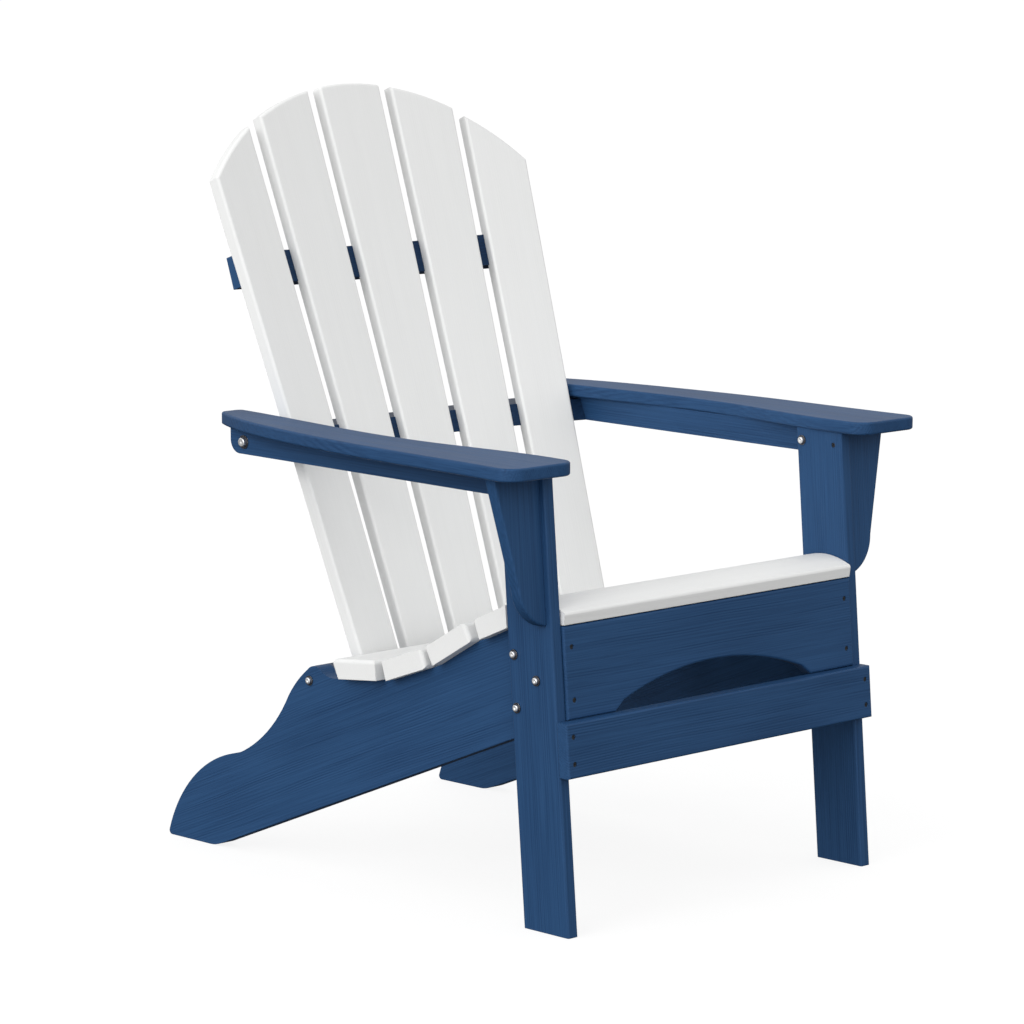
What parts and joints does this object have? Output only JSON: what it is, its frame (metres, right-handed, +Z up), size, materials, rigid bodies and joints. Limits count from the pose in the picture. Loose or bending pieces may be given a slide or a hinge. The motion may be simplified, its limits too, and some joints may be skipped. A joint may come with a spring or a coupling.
{
  "type": "adirondack chair",
  "caption": "Two-tone adirondack garden chair: fanned, arched back, sloped slatted seat, broad flat arms, and stringers that run down to form the rear legs.",
  "frame": {"origin": "on the floor, under the middle of the chair's bounding box", "axes": "+Z up, +X towards the sitter's left, +Y towards the back of the chair, so the sitter faces -Y"},
  "size_m": [0.8008, 0.8519, 1.086],
  "materials": {
    "navy_boards": "navy plastic lumber with a fine embossed grain, satin",
    "white_slats": "white plastic lumber with a very faint embossed grain, satin",
    "bolt_steel": "bright plated steel",
    "washer_steel": "dark plated steel",
    "dark_screws": "black coated steel"
  },
  "bodies": {
    "root": {"apron_screws": "dark_screws", "arm_bracket_left": "navy_boards", "arm_bracket_right": "navy_boards", "arm_level_brace": "navy_boards", "arm_rail_bolts": "bolt_steel", "arm_rail_left": "navy_boards", "arm_rail_right": "navy_boards", "arm_rail_washers": "washer_steel", "armrest_left": "navy_boards", "armrest_right": "navy_boards", "back_slat_1": "white_slats", "back_slat_2": "white_slats", "back_slat_3": "white_slats", "back_slat_4": "white_slats", "back_slat_5": "white_slats", "back_slat_screws": "dark_screws", "bracket_screws": "dark_screws", "front_apron": "navy_boards", "front_leg_left": "navy_boards", "front_leg_right": "navy_boards", "front_stretcher": "navy_boards", "leg_bolt_nuts": "bolt_steel", "leg_bolt_washers": "washer_steel", "leg_bolts": "bolt_steel", "leg_top_bolts": "bolt_steel", "leg_top_washers": "washer_steel", "lower_back_brace": "navy_boards", "seat_front_board": "white_slats", "seat_slat_1": "white_slats", "seat_slat_2": "white_slats", "seat_slat_3": "white_slats", "stretcher_screws": "dark_screws", "stringer_left": "navy_boards", "stringer_rear_bolts": "bolt_steel", "stringer_rear_washers": "washer_steel", "stringer_right": "navy_boards", "upper_back_brace": "navy_boards"}
  },
  "joints": []
}
